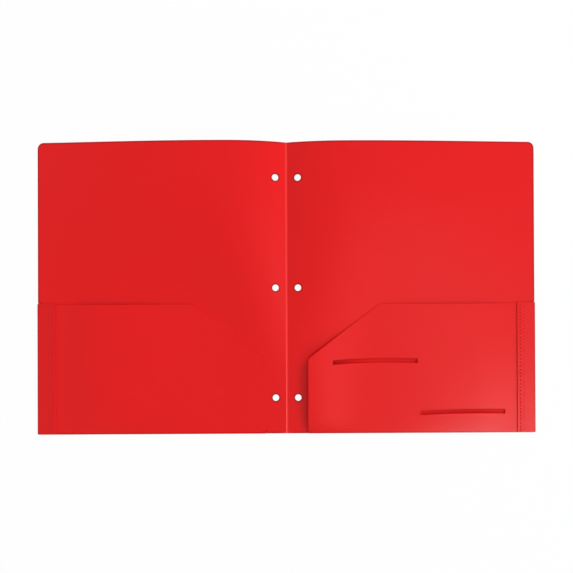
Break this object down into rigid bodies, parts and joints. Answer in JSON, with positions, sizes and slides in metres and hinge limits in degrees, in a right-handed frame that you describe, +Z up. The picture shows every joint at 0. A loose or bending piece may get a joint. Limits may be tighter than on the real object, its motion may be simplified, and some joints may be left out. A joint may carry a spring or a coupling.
{
  "type": "two pocket folder",
  "caption": "Plastic pocket folder lying open: covers hinged on a scored spine, ring holes, a bevelled pocket welded at the foot of each cover, card slits in the back one.",
  "frame": {"origin": "on the underside, in the middle of the spine, with the folder open flat", "axes": "+X across the open folder towards the back cover's outer edge, +Y towards the top edge, +Z up"},
  "size_m": [0.488, 0.286, 0.0081],
  "materials": {
    "sheet": "satin",
    "crease": "satin",
    "weld": "satin"
  },
  "bodies": {
    "back": {"back_cover": "sheet", "back_pocket": "sheet", "back_pocket_fold": "crease", "back_side_tab": "sheet", "back_side_fold": "crease", "back_welds": "weld"},
    "spine": {"spine": "crease"},
    "front": {"front_cover": "sheet", "front_pocket": "sheet", "front_pocket_fold": "crease", "front_side_tab": "sheet", "front_side_fold": "crease", "front_welds": "weld"},
    "back_corner": {"back_pocket_corner": "sheet"},
    "front_corner": {"front_pocket_corner": "sheet"}
  },
  "joints": [
    {"name": "spine_fold", "type": "hinge", "parent": "back", "child": "front", "pos_m": [0, 0, 0.0015], "axis": [0, 1, 0], "range_deg": [0, 178]},
    {"name": "spine_turn", "type": "hinge", "parent": "back", "child": "spine", "pos_m": [0.001, 0, 0.0005], "axis": [0, 1, 0], "range_deg": [0, 89]},
    {"name": "back_corner_bend", "type": "hinge", "parent": "back", "child": "back_corner", "pos_m": [0.0205, -0.1393, 0.0014], "axis": [0.5584, 0.8296, 0], "range_deg": [-10, 0]},
    {"name": "front_corner_bend", "type": "hinge", "parent": "front", "child": "front_corner", "pos_m": [-0.0205, -0.1393, 0.0014], "axis": [0.5584, -0.8296, 0], "range_deg": [-10, 0]}
  ],
  "couplings": [
    {"joint": "spine_turn", "follows": "spine_fold", "ratio": 0.5},
    {"joint": "back_corner_bend", "follows": "spine_fold", "ratio": -0.05618},
    {"joint": "front_corner_bend", "follows": "spine_fold", "ratio": -0.05618}
  ]
}
